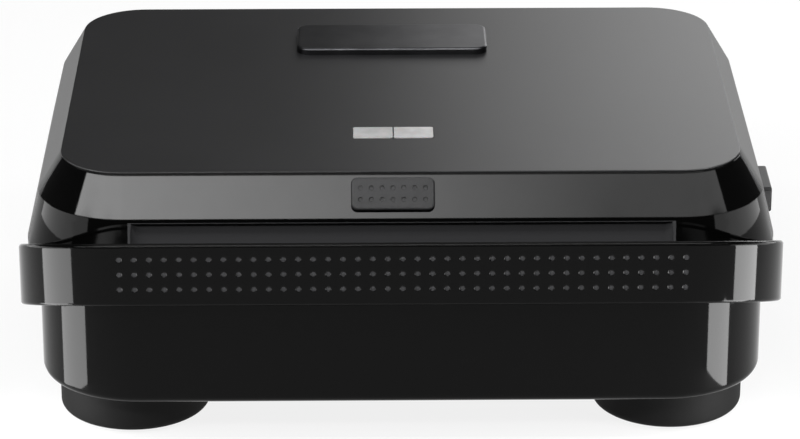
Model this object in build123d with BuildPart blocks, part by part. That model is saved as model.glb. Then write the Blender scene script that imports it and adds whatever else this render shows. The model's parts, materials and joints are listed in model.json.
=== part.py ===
from math import hypot
import os

from build123d import *

# An electric multi grill: a base and a hinged lid, each with a removable ribbed cooking plate.
# Lengths are in millimetres. X runs to the right, Y away from the user and Z up from the table.
# A distance called front, back or behind is measured from the front face of the handle band.

# Feet
foot_radius = 26.0
foot_height = 16.6
foot_side_inset = 31.5
foot_inset = 36.4
foot_edge = 2.5
foot_core_radius = 9.0
foot_core_depth = 9.0
pad_radius = 18.0
pad_thickness = 2.4
pad_proud = 1.2

# Base housing
base_beside_plate = 16.2
base_front = 5.6
base_behind_plate = 17.2
base_height = 36.8
base_corner = 34.3
base_wall = 2.5
base_lip = 3.0

# Handle band
band_beside_plate = 23.0
band_height = 22.6
band_above_base = 2.3
band_thickness = 4.0
band_corner = 38.4
band_edge = 1.2
edge_slope = 0.416
seam_behind = 45.0
dot_columns = 39
dot_rows = 3
dot_pitch_across = 4.97
dot_pitch_up = 5.4
dot_radius = 1.25
dot_depth = 0.5

# Lid shell
skirt_beside_plate = 21.0
skirt_corner = 34.0
skirt_above_band_bottom = 5.3
skirt_below_base_top = 15.4
skirt_rise_length = 30.0
skirt_rise_before_back = 7.6
skirt_blend = 20.0
rear_edge_gap = 2.6
rim_beside_plate = 16.8
rim_front = 21.0
rim_below_band_top = 0.1
rim_corner = 30.3
rim_flare_front = 3.8
bevel_inset = 8.3
bevel_height = 13.8
lid_behind_plate = 15.6
lid_wall = 2.5
panel_thickness = 2.2
window_reach = 7.5
seam_gap = 0.3
shelf_drop = 0.6

# Finger pocket behind the band
pocket_end_inset = 39.4
pocket_back = 22.5
pocket_top_gap = 1.5
pocket_corner = 3.0
pocket_wall = 2.2

# Cooking plates, the same in the base and in the lid
plate_half_width = 108.0
plate_front = 38.0
plate_depth = 150.0
plate_corner = 12.0
plate_rim_width = 11.5
plate_rim_thickness = 2.5
plate_gap = 0.6
pan_depth = 8.0
pan_floor = 3.0
pan_wall = 2.5
pan_fillet = 2.5
rib_height = 2.5
rib_width = 3.2
rib_pitch = 9.6
rib_end_gap = 7.0
tongue_length = 4.0
tongue_width = 18.0
tongue_thickness = 2.0
tongue_spacing = 90.0

# Inner frames that carry the plates
meeting_below_rim = 1.1
plate_proud = 1.0
frame_thickness = 3.0
frame_clearance = 0.3
plate_clearance = 1.0
ledge_width = 9.0
upper_frame_front = 8.0

# Heating elements and reflectors
sheath_radius = 3.25
element_gap = 0.1
element_bend = 12.0
element_side_inset = 28.0
element_front_inset = 22.0
element_back_inset = 18.0
element_end_side = 30.0
element_end_behind_plate = 8.0
reflector_gap = 2.5
reflector_thickness = 1.0
reflector_rim = 5.0
reflector_side_inset = 14.0
reflector_front_inset = 11.0
reflector_back_inset = 10.0
reflector_corner = 10.0
saddle_size = 10.0
saddle_side = 40.0
notch_margin = 2.0
reflector_post_radius = 4.0
reflector_post_side = 60.0
reflector_post_front = 85.0
reflector_post_back = 150.0

# Plate release: a keyhole strip holds the neck of a stud on the plate
release_travel = 2.5
button_length = 22.0
button_height = 9.0
button_edge = 1.2
button_proud = 2.0
button_clearance = 0.3
flange_margin = 1.5
flange_thickness = 2.0
flange_gap = 0.4
upper_button_behind = 69.0
upper_button_above_meeting = 16.7
lower_button_behind = 91.0
lower_button_below_meeting = 21.8
stud_inset = 3.0
stud_neck_radius = 1.5
stud_head_radius = 2.6
stud_head_height = 2.5
stud_clearance = 0.3
strip_thickness = 1.5
strip_width = 12.0
strip_end_margin = 1.2
strip_gap = 0.3
drop_arm_width = 8.0
drop_arm_thickness = 3.0
release_spring_radius = 2.2
release_spring_offset = 9.0
spring_post_thickness = 3.5
spring_post_width = 5.0

# Hinge
hinge_behind_lid = 9.4
hinge_above_base = 6.6
knuckle_gap = 0.4
pin_radius = 3.0
pin_head_radius = 4.2
pin_head_thickness = 1.5
running_clearance = 0.05
bush_wall = 1.5
arm_radius = 8.0
arm_width = 13.0
arm_side_gap = 0.5
arm_bar_height = 7.0
arm_foot_width = 20.0
arm_foot_thickness = 3.4
arm_foot_length = 11.0
hinge_side = 66.0
ear_thickness = 5.0
bracket_wing = 7.0
bracket_plate = 3.5
bracket_above_floor = 8.9
bracket_below_ears = 2.4
bracket_screw_grip = 5.0

# Latch: a pad on the front slope, moved to the right to lock
latch_rest_side = -3.0
latch_travel = 6.0
latch_pad_width = 28.3
latch_pad_height = 11.2
latch_pad_thickness = 2.7
latch_pad_corner = 2.2
latch_pad_edge = 0.7
latch_pad_gap = 0.25
dimple_columns = 7
dimple_rows = 2
dimple_pitch_across = 3.65
dimple_pitch_up = 3.97
dimple_radius = 0.75
dimple_depth = 0.35
stem_width = 10.0
stem_height = 4.5
slider_gap = 0.3
slider_thickness = 2.0
slider_low = 5.0
slider_high = 3.0
slider_side = 12.0
leg_thickness = 2.4
leg_gap_above_frame = 3.5
leg_behind_pocket = 1.2
leg_overlap = 1.25
hook_thickness = 1.2
hook_height = 28.0
hook_nose = 5.0
hook_nose_height = 2.5
hook_below_keeper = 0.4
keeper_thickness = 1.1
keeper_length = 12.0
keeper_depth = 9.0
slot_margin = 1.7
catch_margin = 4.8
guide_thickness = 1.5
guide_low = 1.5
guide_end_gap = 1.5
guide_end_width = 3.0

# Indicator lamps in the lid's top
lamp_side = -2.5
lamp_behind = 65.0
lamp_window_width = 28.0
lamp_window_depth = 10.3
lamp_window_corner = 0.9
lens_gap = 0.15
lens_split = 0.4
lens_thickness = 3.0
lens_proud = 0.3
holder_wall = 1.6
holder_height = 11.0
bulb_radius = 2.4
bulb_length = 8.0

# Blank nameplate
nameplate_side = -2.0
nameplate_behind = 157.5
nameplate_width = 70.0
nameplate_depth = 27.0
nameplate_thickness = 2.5
nameplate_corner = 5.0
nameplate_edge = 1.0

# Screws and their bosses
screw_radius = 1.5
screw_hole_gap = 0.05
screw_head_radius = 3.0
screw_head_height = 1.4
screw_head_gap = 0.2
screw_grip = 12.0
screw_end_gap = 0.3
boss_radius = 4.0
base_boss_height = 10.0
base_front_boss_side = 54.0
base_rear_boss_offset = 2.0
base_side_boss_offset = 22.0
lid_side_boss_inset = 8.8
lid_side_boss_front = 67.5
lid_side_boss_back = 130.5
lid_front_boss_side = 59.4
boss_gap = 0.1

# Electrical pieces in the base
gland_side = -12.0
gland_above_floor = 16.9
gland_bore_radius = 3.6
gland_wall = 2.8
gland_flange = 2.0
gland_flange_thickness = 2.0
gland_length = 9.0
gland_relief = 0.6
gland_relief_past_wall = 1.0
terminal_side = -40.0
terminal_width = 34.0
terminal_depth = 12.0
terminal_height = 14.0
terminal_hole_radius = 2.0
terminal_holes = 3
terminal_pitch = 10.0
terminal_forward = 2.0
thermostat_radius = 8.0
thermostat_height = 6.0
thermostat_stem_radius = 3.0
thermostat_stem_drop = 7.0
fuse_radius = 2.2
fuse_length = 22.0
fuse_side = 35.0
lead_radius = 1.1
lead_bend = 3.0
lead_spacing = 5.0
lead_detour = 10.0

# Levels and distances worked out from the sizes above
base_half_width = plate_half_width + base_beside_plate
band_half_width = plate_half_width + band_beside_plate
skirt_half_width = plate_half_width + skirt_beside_plate
rim_half_width = plate_half_width + rim_beside_plate
pocket_half_width = band_half_width - pocket_end_inset
foot_side = base_half_width - foot_side_inset
stud_side = plate_half_width - stud_inset
plate_back = plate_front + plate_depth
base_back = plate_back + base_behind_plate
lid_back = plate_back + lid_behind_plate
skirt_rise_end = lid_back - skirt_rise_before_back
skirt_rise_behind = skirt_rise_end - skirt_rise_length
base_top = foot_height + base_height
base_floor = foot_height + base_wall
plate_meeting = base_top - meeting_below_rim
band_bottom = base_top + band_above_base
band_top = band_bottom + band_height
skirt_top = band_bottom + skirt_above_band_bottom
skirt_low = base_top - skirt_below_base_top
rim_height = band_top - rim_below_band_top
lid_height = rim_height + bevel_height
hinge_height = base_top + hinge_above_base
bracket_low = base_floor + bracket_above_floor
gland_height = base_floor + gland_above_floor
upper_button_height = plate_meeting + upper_button_above_meeting
lower_button_height = plate_meeting - lower_button_below_meeting
element_half_width = plate_half_width - element_side_inset
element_front = plate_front + element_front_inset
element_back = plate_back - element_back_inset
element_end = plate_back + element_end_behind_plate
reflector_half_width = plate_half_width - reflector_side_inset
reflector_front = plate_front + reflector_front_inset
reflector_back = plate_back - reflector_back_inset
hinge_behind = lid_back + hinge_behind_lid
ear_radius = hinge_behind_lid - knuckle_gap
overall_depth = hinge_behind + ear_radius
rear_edge = base_top + rear_edge_gap
panel_front = rim_front + bevel_inset
panel_back = lid_back - bevel_inset
panel_under = lid_height - panel_thickness
pocket_front = band_thickness
fascia_half_width = band_half_width - band_thickness
far = 2 * overall_depth

# Distances of each layer from the plane where the two cooking plates meet
rim_face = plate_gap / 2
frame_face = rim_face + plate_proud
rim_back = rim_face + plate_rim_thickness
frame_back = frame_face + frame_thickness
strip_face = frame_back + strip_gap
strip_back = strip_face + strip_thickness
pan_face = rim_face + pan_depth
pan_back = pan_face + pan_floor
element_centre = pan_back + element_gap + sheath_radius
reflector_face = element_centre + sheath_radius + reflector_gap
reflector_back_face = reflector_face + reflector_thickness
upper_frame_top = plate_meeting + frame_back
pocket_floor = upper_frame_top + boss_gap + pocket_wall
LOWER, UPPER = -1, 1


def from_front(distance):
    """Y of a point at this distance behind the front face of the handle band."""
    return distance - overall_depth / 2


def level(side, distance):
    """Height of a layer at this distance from the meeting plane, in the base or in the lid."""
    return plate_meeting + side * distance


def plan(height, half_width, front, back, corner):
    """A rounded rectangle seen from above, between two distances behind the band."""
    with BuildSketch(Plane.XY.offset(height)) as outline:
        with Locations((0, from_front((front + back) / 2))):
            RectangleRounded(2 * half_width, back - front, corner)
    return outline.sketch


def spot(height, across, behind, radius):
    """A circle seen from above."""
    with BuildSketch(Plane.XY.offset(height)) as circle:
        with Locations((across, from_front(behind))):
            Circle(radius)
    return circle.sketch


def patch(height, across, behind, width, depth):
    """A rectangle seen from above, given by its middle."""
    with BuildSketch(Plane.XY.offset(height)) as rectangle:
        with Locations((across, from_front(behind))):
            Rectangle(width, depth)
    return rectangle.sketch


def side_profile(points, across=0.0, corners=0.0):
    """A closed outline seen from the right, from pairs of distance behind the band and height."""
    with BuildSketch(Plane.YZ.offset(across)) as profile:
        with BuildLine():
            Polyline(*[(from_front(behind), height) for behind, height in points], close=True)
        make_face()
        if corners:
            rear_of_lowest = profile.vertices().sort_by(Axis.Y)[:2].sort_by(Axis.X)[-1]
            fillet(rear_of_lowest, corners)
    return profile.sketch


def finish_piece(part, name):
    """Names a finished piece and writes it to its own file."""
    part.label = name
    export_step(part, f"parts/{name}.step")


os.makedirs("parts", exist_ok=True)


# Base housing: a deep moulded tray with a rounded lower edge
foot_places = {
    "front_left": (-foot_side, base_front + foot_inset),
    "front_right": (foot_side, base_front + foot_inset),
    "rear_left": (-foot_side, base_back - foot_inset),
    "rear_right": (foot_side, base_back - foot_inset),
}
bracket_screw_offset = arm_width / 2 + arm_side_gap + ear_thickness + bracket_wing / 2
frame_boss_side = (plate_half_width + base_half_width - base_wall) / 2
frame_boss_rear = (plate_back + base_back - base_wall) / 2
base_boss_places = [
    (side * across, behind)
    for side in (-1, 1)
    for across, behind in (
        (frame_boss_side, lower_button_behind + base_side_boss_offset),
        (base_front_boss_side, (base_front + base_wall + plate_front) / 2),
        (hinge_side + bracket_screw_offset + base_rear_boss_offset, frame_boss_rear),
    )
]
reflector_posts = [
    (side * reflector_post_side, behind)
    for side in (-1, 1)
    for behind in (reflector_post_front, reflector_post_back)
]
bracket_top = hinge_height - ear_radius - bracket_below_ears
bracket_screw_height = (bracket_low + bracket_top) / 2
bracket_screw_places = [
    (side * hinge_side + offset)
    for side in (-1, 1)
    for offset in (-bracket_screw_offset, bracket_screw_offset)
]
lower_reflector_under = level(LOWER, reflector_back_face)


def base_inner_plan(height, inset=0.0):
    """The hollow of the base seen from above."""
    gap = base_wall + inset
    return plan(height, base_half_width - gap, base_front + gap, base_back - gap, base_corner - gap)


with BuildPart() as base_housing:
    extrude(plan(foot_height, base_half_width, base_front, base_back, base_corner), amount=base_height)
    fillet(base_housing.faces().sort_by(Axis.Z)[0].edges(), base_lip)
    extrude(base_inner_plan(base_floor), amount=base_height, mode=Mode.SUBTRACT)
    # Bosses for the screws that hold the frame, and posts under the reflector
    for across, behind in base_boss_places:
        extrude(spot(base_floor, across, behind, boss_radius), amount=base_boss_height)
    for across, behind in reflector_posts:
        extrude(spot(base_floor, across, behind, reflector_post_radius),
                amount=lower_reflector_under - base_floor)
    for across, behind in base_boss_places:
        extrude(spot(foot_height, across, behind, screw_radius + screw_hole_gap),
                amount=far, mode=Mode.SUBTRACT)
        extrude(spot(foot_height, across, behind, screw_head_radius + screw_head_gap),
                amount=screw_head_height + screw_head_gap, mode=Mode.SUBTRACT)
    for across, behind in foot_places.values():
        extrude(spot(foot_height, across, behind, screw_radius + screw_hole_gap),
                amount=base_wall, mode=Mode.SUBTRACT)
    # Hole for the cord gland and holes for the hinge bracket screws, in the back wall
    with BuildSketch(Plane.XZ.offset(-from_front(base_back))):
        with Locations((gland_side, gland_height)):
            Circle(gland_bore_radius + gland_wall)
        with Locations(*[(across, bracket_screw_height) for across in bracket_screw_places]):
            Circle(screw_radius + screw_hole_gap)
    extrude(amount=base_wall, mode=Mode.SUBTRACT)
    # Window for the release button, in the right wall
    with BuildSketch(Plane.YZ.offset(base_half_width)):
        with Locations((from_front(lower_button_behind), lower_button_height)):
            RectangleRounded(button_length + 2 * button_clearance,
                             button_height + 2 * button_clearance,
                             button_edge + button_clearance)
    extrude(amount=-base_wall, mode=Mode.SUBTRACT)
finish_piece(base_housing.part, "base_housing")


# Feet: four moulded cups, each with a rubber pad and a screw up into the base
pad_seat = pad_thickness - pad_proud
foot_bottom = pad_proud
for place, (across, behind) in foot_places.items():
    with BuildPart() as foot:
        extrude(spot(foot_bottom, across, behind, foot_radius), amount=foot_height - foot_bottom)
        fillet(foot.faces().sort_by(Axis.Z)[0].edges(), foot_edge)
        extrude(spot(foot_bottom, across, behind, pad_radius + screw_head_gap),
                amount=pad_seat, mode=Mode.SUBTRACT)
        extrude(spot(foot_bottom, across, behind, foot_core_radius), amount=foot_core_depth,
                mode=Mode.SUBTRACT)
        extrude(spot(foot_bottom, across, behind, screw_radius + screw_hole_gap),
                amount=foot_height, mode=Mode.SUBTRACT)
    finish_piece(foot.part, f"{place}_foot")

with BuildPart() as foot_pads:
    for across, behind in foot_places.values():
        extrude(spot(0, across, behind, pad_radius), amount=pad_thickness)
finish_piece(foot_pads.part, "foot_pads")

with BuildPart() as foot_screws:
    for across, behind in foot_places.values():
        head = foot_bottom + foot_core_depth
        extrude(spot(head - screw_head_height, across, behind, screw_head_radius),
                amount=screw_head_height)
        extrude(spot(head, across, behind, screw_radius), amount=base_floor - head)
finish_piece(foot_screws.part, "foot_screws")


# Cooking plates: a cast pan with a flat rim, ribs, a locking stud and two tongues
pan_half_width = plate_half_width - plate_rim_width
pan_front = plate_front + plate_rim_width
pan_rear = plate_back - plate_rim_width
pan_corner = plate_corner - pan_wall
rib_length = pan_rear - pan_front - 2 * rib_end_gap
rib_count = int(2 * (pan_half_width - rib_end_gap) / rib_pitch) + 1
stud_neck_height = strip_back + stud_clearance - rim_back


def cooking_plate(side, stud_behind):
    """One cooking plate, in the base or in the lid."""
    towards_back = (0, 0, side)
    middle = (plate_front + plate_back) / 2
    with BuildPart() as plate:
        extrude(plan(level(side, rim_face), plate_half_width, plate_front, plate_back, plate_corner),
                amount=plate_rim_thickness, dir=towards_back)
        extrude(plan(level(side, rim_face), pan_half_width + pan_wall, pan_front - pan_wall,
                     pan_rear + pan_wall, pan_corner + pan_wall),
                amount=pan_depth + pan_floor, dir=towards_back)
        extrude(plan(level(side, rim_face), pan_half_width, pan_front, pan_rear, pan_corner),
                amount=pan_depth, dir=towards_back, mode=Mode.SUBTRACT)
        cooking_face = plate.faces().filter_by(
            lambda face: abs(face.center().Z - level(side, pan_face)) < 0.01)
        fillet(cooking_face.edges(), pan_fillet)
        with BuildSketch(Plane.XY.offset(level(side, pan_face))):
            with Locations((0, from_front(middle))):
                with GridLocations(rib_pitch, 1, rib_count, 1):
                    SlotOverall(rib_length, rib_width, rotation=90)
        extrude(amount=rib_height, dir=(0, 0, -side))
        # Stud that the release strip holds, under the right side of the rim
        extrude(spot(level(side, rim_back), stud_side, stud_behind, stud_neck_radius),
                amount=stud_neck_height, dir=towards_back)
        extrude(spot(level(side, rim_back + stud_neck_height), stud_side, stud_behind,
                     stud_head_radius),
                amount=stud_head_height, dir=towards_back)
        # Tongues that go under the frame on the left side
        for behind in (middle - tongue_spacing / 2, middle + tongue_spacing / 2):
            reach = ledge_width + tongue_length
            extrude(patch(level(side, frame_back + frame_clearance),
                          -plate_half_width + ledge_width - reach / 2 + plate_clearance, behind,
                          reach, tongue_width),
                    amount=tongue_thickness, dir=towards_back)
            extrude(patch(level(side, rim_back), -plate_half_width + ledge_width, behind,
                          2 * pan_wall, tongue_width),
                    amount=frame_back + frame_clearance + tongue_thickness - rim_back,
                    dir=towards_back)
    return plate.part


finish_piece(cooking_plate(LOWER, lower_button_behind), "lower_plate")
finish_piece(cooking_plate(UPPER, upper_button_behind), "upper_plate")


# Inner frames: the ring round each plate that it sits in
hook_behind = pocket_back + pocket_wall + leg_behind_pocket + leg_thickness + hook_thickness / 2
hook_low_side = latch_rest_side - stem_width / 2
release_places = {LOWER: lower_button_behind, UPPER: upper_button_behind}
lid_boss_places = [
    (side * across, behind)
    for side in (-1, 1)
    for across, behind in (
        (rim_half_width - lid_side_boss_inset, plate_front + lid_side_boss_front),
        (rim_half_width - lid_side_boss_inset, plate_front + lid_side_boss_back),
        (lid_front_boss_side, plate_front - boss_radius - plate_clearance),
    )
]
arm_screw_behind = (plate_back + plate_clearance + lid_back - lid_wall) / 2
arm_screw_places = [(side * hinge_side, arm_screw_behind) for side in (-1, 1)]
spring_post_side = stud_side + spring_post_thickness / 2


def frame_ring(side, outline):
    """The flat ring round one plate, with its recess, ledge and spring post, open for the latch."""
    towards_back = (0, 0, side)
    release_behind = release_places[side]
    recess_side = plate_half_width + plate_clearance
    hook_room = (hook_low_side - slot_margin,
                 hook_low_side + stem_width + hook_nose + slot_margin)
    slot_depth = hook_thickness + 2 * catch_margin
    if side == UPPER:
        hook_room = (hook_room[0], hook_room[1] + latch_travel)
        slot_depth = hook_thickness + 2 * slot_margin
    with BuildPart() as ring:
        extrude(outline, amount=frame_thickness, dir=towards_back)
        extrude(plan(level(side, frame_face), recess_side, plate_front - plate_clearance,
                     plate_back + plate_clearance, plate_corner + plate_clearance),
                amount=rim_back - frame_face, dir=towards_back, mode=Mode.SUBTRACT)
        extrude(plan(level(side, frame_face), recess_side - ledge_width,
                     plate_front - plate_clearance + ledge_width,
                     plate_back + plate_clearance - ledge_width, plate_corner),
                amount=far, dir=towards_back, mode=Mode.SUBTRACT)
        # Room for the plate's stud and for its tongues
        head_room = 2 * (stud_head_radius + 2 * stud_clearance)
        extrude(patch(level(side, frame_face), stud_side - release_travel, release_behind,
                      head_room + 2 * release_travel, head_room),
                amount=far, dir=towards_back, mode=Mode.SUBTRACT)
        for offset in (-tongue_spacing / 2, tongue_spacing / 2):
            extrude(patch(level(side, frame_face),
                          -plate_half_width + ledge_width - pan_wall, plate_front + plate_depth / 2 + offset,
                          4 * pan_wall + 2 * plate_clearance, tongue_width + 2 * plate_clearance),
                    amount=far, dir=towards_back, mode=Mode.SUBTRACT)
        # Slot for the latch hook
        extrude(patch(level(side, frame_face), sum(hook_room) / 2, hook_behind,
                      hook_room[1] - hook_room[0], slot_depth),
                amount=far, dir=towards_back, mode=Mode.SUBTRACT)
        # Post behind the release spring
        post_end = release_height(side) + side * button_height / 2
        post_height = abs(post_end - level(side, frame_back))
        extrude(patch(level(side, frame_back), spring_post_side,
                      release_behind + release_spring_offset, spring_post_thickness,
                      spring_post_width),
                amount=post_height, dir=towards_back)
    return ring.part


def release_height(side):
    """Height of the middle of a release button."""
    return lower_button_height if side == LOWER else upper_button_height


with BuildPart() as lower_frame:
    add(frame_ring(LOWER, base_inner_plan(level(LOWER, frame_face), frame_clearance)))
    # Bosses down to those of the housing
    for across, behind in base_boss_places:
        extrude(spot(level(LOWER, frame_back), across, behind, boss_radius),
                amount=level(LOWER, frame_back) - base_floor - base_boss_height - boss_gap,
                dir=(0, 0, -1))
        extrude(spot(base_floor, across, behind, screw_radius + screw_hole_gap),
                amount=base_boss_height + screw_grip, mode=Mode.SUBTRACT)
finish_piece(lower_frame.part, "lower_frame")

upper_outline = plan(level(UPPER, frame_face), fascia_half_width - lid_wall - frame_clearance,
                     upper_frame_front, lid_back - lid_wall - frame_clearance,
                     skirt_corner - lid_wall)
with BuildPart() as upper_frame:
    add(frame_ring(UPPER, upper_outline))
    for across, behind in lid_boss_places + arm_screw_places:
        extrude(spot(level(UPPER, frame_face), across, behind, screw_radius + screw_hole_gap),
                amount=far, mode=Mode.SUBTRACT)
        extrude(spot(level(UPPER, frame_face), across, behind, screw_head_radius + screw_head_gap),
                amount=screw_head_height + screw_head_gap, mode=Mode.SUBTRACT)
finish_piece(upper_frame.part, "upper_frame")

with BuildPart() as base_screws:
    for across, behind in base_boss_places:
        extrude(spot(foot_height + screw_head_gap, across, behind, screw_head_radius),
                amount=screw_head_height)
        extrude(spot(foot_height + screw_head_gap + screw_head_height, across, behind, screw_radius),
                amount=base_wall + base_boss_height + screw_grip - 2 * screw_head_height)
finish_piece(base_screws.part, "base_screws")

with BuildPart() as lid_screws:
    for across, behind in lid_boss_places + arm_screw_places:
        head = level(UPPER, frame_face) + screw_head_gap
        extrude(spot(head, across, behind, screw_head_radius), amount=screw_head_height)
        through_arm = (across, behind) in arm_screw_places
        grip = arm_foot_thickness + screw_head_height if through_arm else screw_grip
        extrude(spot(head + screw_head_height, across, behind, screw_radius),
                amount=grip - screw_end_gap)
finish_piece(lid_screws.part, "lid_screws")


# Heating elements: a sheathed tube bent round under each plate, with its ends at the back
def element_path(side):
    """The middle line of one heating element, from its left end to its right end."""
    corners = [
        (element_end_side, element_end),
        (element_end_side, element_back),
        (element_half_width, element_back),
        (element_half_width, element_front),
    ]
    height = level(side, element_centre)
    left = [(-across, from_front(behind), height) for across, behind in corners]
    right = [(across, from_front(behind), height) for across, behind in reversed(corners)]
    return left + right


def heating_element(side):
    """One heating element."""
    with BuildPart() as element:
        with BuildLine() as path:
            FilletPolyline(*element_path(side), radius=element_bend)
        with BuildSketch(Plane(origin=path.line @ 0, z_dir=path.line % 0)):
            Circle(sheath_radius)
        sweep()
    return element.part


finish_piece(heating_element(LOWER), "lower_element")
finish_piece(heating_element(UPPER), "upper_element")


# Reflectors: a shallow aluminium tray behind each element
def reflector(side):
    """One reflector, with its edge turned towards the plate."""
    towards_plate = (0, 0, -side)
    inner = reflector_thickness
    with BuildPart() as tray:
        extrude(plan(level(side, reflector_back_face), reflector_half_width, reflector_front,
                     reflector_back, reflector_corner),
                amount=reflector_thickness + reflector_rim, dir=towards_plate)
        extrude(plan(level(side, reflector_face), reflector_half_width - inner,
                     reflector_front + inner, reflector_back - inner, reflector_corner - inner),
                amount=far, dir=towards_plate, mode=Mode.SUBTRACT)
        # The element's ends leave through notches in the back edge
        for across in (-element_end_side, element_end_side):
            extrude(patch(level(side, reflector_face), across, reflector_back,
                          2 * (sheath_radius + notch_margin), 2 * (inner + notch_margin)),
                    amount=far, dir=towards_plate, mode=Mode.SUBTRACT)
    return tray


lower_reflector = reflector(LOWER)
with lower_reflector:
    extrude(spot(level(LOWER, reflector_face), 0, (plate_front + plate_back) / 2,
                 thermostat_stem_radius + screw_head_gap),
            amount=far, dir=(0, 0, -1), mode=Mode.SUBTRACT)
finish_piece(lower_reflector.part, "lower_reflector")
finish_piece(reflector(UPPER).part, "upper_reflector")


# Saddles that hold each element on its reflector
saddle_places = [
    (-element_half_width, (element_front + element_back) / 2, True),
    (element_half_width, (element_front + element_back) / 2, True),
    (-saddle_side, element_front, False),
    (saddle_side, element_front, False),
]


def saddles(side):
    """Four blocks with a groove for the element."""
    with BuildPart() as blocks:
        for across, behind, _ in saddle_places:
            extrude(patch(level(side, reflector_face), across, behind, saddle_size, saddle_size),
                    amount=reflector_face - element_centre, dir=(0, 0, -side))
        for across, behind, lengthways in saddle_places:
            run = Plane.XZ if lengthways else Plane.YZ
            centre = (across, from_front(behind), level(side, element_centre))
            with BuildSketch(Plane(origin=centre, x_dir=run.x_dir, z_dir=run.z_dir)):
                Circle(sheath_radius + running_clearance)
            extrude(amount=saddle_size, both=True, mode=Mode.SUBTRACT)
    return blocks.part


finish_piece(saddles(LOWER), "lower_element_saddles")
finish_piece(saddles(UPPER), "upper_element_saddles")


# Plate release: button, keyhole strip and spring, on the right side
def release_outer(side):
    """X of the outer face of a button: it stands proud of the wall that it is in."""
    if side == LOWER:
        return base_half_width + button_proud
    return wall_side(upper_button_height) + button_proud


def wall_side(height):
    """X of the outside of the lid's sloping side wall at a height."""
    share = (height - skirt_top) / (rim_height - skirt_top)
    return skirt_half_width + share * (rim_half_width - skirt_half_width)


def flange_outer(side):
    """X of the flange's outer face, just inside the wall."""
    if side == LOWER:
        return base_half_width - base_wall - flange_gap
    return wall_side(upper_button_height + button_height / 2 + flange_margin) - lid_wall - flange_gap


def release_button(side):
    """A push button with a flange behind the wall and an arm to the strip."""
    behind, height = release_places[side], release_height(side)
    outer, flange = release_outer(side), flange_outer(side)
    with BuildPart() as button:
        with BuildSketch(Plane.YZ.offset(outer)):
            with Locations((from_front(behind), height)):
                RectangleRounded(button_length, button_height, button_edge)
        extrude(amount=flange - outer)
        fillet(button.faces().sort_by(Axis.X)[-1].edges(), button_edge / 2)
        with BuildSketch(Plane.YZ.offset(flange)):
            with Locations((from_front(behind), height)):
                Rectangle(button_length + 2 * flange_margin, button_height + 2 * flange_margin)
        extrude(amount=-flange_thickness)
        arm_end = level(side, strip_back)
        with BuildSketch(Plane.YZ.offset(flange)):
            with Locations((from_front(behind), (height + arm_end) / 2)):
                Rectangle(drop_arm_width, abs(height - arm_end))
        extrude(amount=-drop_arm_thickness)
    return button.part


def release_strip(side):
    """A flat strip whose keyhole holds the neck of the plate's stud.

    At rest the narrow end is round the neck. When the button is pressed by its full travel, the wide
    end is round the stud, so the head can leave.
    """
    behind = release_places[side]
    inner = stud_side - stud_neck_radius - stud_clearance - strip_end_margin
    outer = flange_outer(side)
    open_side = stud_side + release_travel
    with BuildPart() as strip:
        extrude(patch(level(side, strip_face), (inner + outer) / 2, behind, outer - inner, strip_width),
                amount=strip_thickness, dir=(0, 0, side))
        extrude(spot(level(side, strip_face), stud_side, behind, stud_neck_radius + stud_clearance),
                amount=strip_thickness, dir=(0, 0, side), mode=Mode.SUBTRACT)
        extrude(patch(level(side, strip_face), (stud_side + open_side) / 2, behind,
                      open_side - stud_side, 2 * (stud_neck_radius + stud_clearance)),
                amount=strip_thickness, dir=(0, 0, side), mode=Mode.SUBTRACT)
        extrude(spot(level(side, strip_face), open_side, behind, stud_head_radius + stud_clearance),
                amount=strip_thickness, dir=(0, 0, side), mode=Mode.SUBTRACT)
    return strip.part


def release_spring(side):
    """The room of the coil spring between the post and the button's flange."""
    start = spring_post_side + spring_post_thickness / 2 + running_clearance
    end = flange_outer(side) - flange_thickness - running_clearance
    with BuildPart() as spring:
        with BuildSketch(Plane.YZ.offset(start)):
            with Locations((from_front(release_places[side] + release_spring_offset),
                            release_height(side))):
                Circle(release_spring_radius)
                Circle(release_spring_radius / 2, mode=Mode.SUBTRACT)
        extrude(amount=end - start)
    return spring.part


for side, name in ((LOWER, "lower"), (UPPER, "upper")):
    finish_piece(release_button(side), f"{name}_release_button")
    finish_piece(release_strip(side), f"{name}_release_strip")
    finish_piece(release_spring(side), f"{name}_release_spring")


# Lid shell: one outer form, cut into a satin cover and a gloss front
def lid_form(inset, drop):
    """The lid's outer form, or its hollow when inset by the wall and dropped by the top."""
    def outline(height, half_width, front, back, corner):
        return plan(height, half_width - inset, front + inset, back - inset, corner - inset)

    skirt_front = rim_front - rim_flare_front
    slope_inset = bevel_inset * (1 - drop / (lid_height - rim_height))
    with BuildPart() as form:
        skirt = outline(skirt_low, skirt_half_width, skirt_front, lid_back, skirt_corner)
        extrude(skirt, amount=skirt_top - skirt_low)
        loft([outline(skirt_top, skirt_half_width, skirt_front, lid_back, skirt_corner),
              outline(rim_height, rim_half_width, rim_front, lid_back, rim_corner)])
        loft([outline(rim_height, rim_half_width, rim_front, lid_back, rim_corner),
              outline(lid_height - drop, rim_half_width - slope_inset, rim_front + slope_inset,
                      lid_back - slope_inset, rim_corner - slope_inset)])
    return form.part


def shelf_height(behind):
    """Height of the shoulder that runs back from the band's top edge."""
    return band_top - shelf_drop - edge_slope * behind


def shelf_block(inset):
    """The body of the shoulder inside the band, or its hollow."""
    gap = band_thickness + inset
    seam = seam_behind - seam_gap / 2
    low = upper_frame_top + boss_gap - inset
    with BuildPart() as block:
        extrude(plan(low, band_half_width - gap, gap, lid_back, band_corner - gap), amount=band_height)
        extrude(side_profile([(0, low), (0, shelf_height(0) - inset),
                              (seam, shelf_height(seam) - inset), (seam, low)]),
                amount=far, both=True, mode=Mode.INTERSECT)
    return block.part


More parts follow.
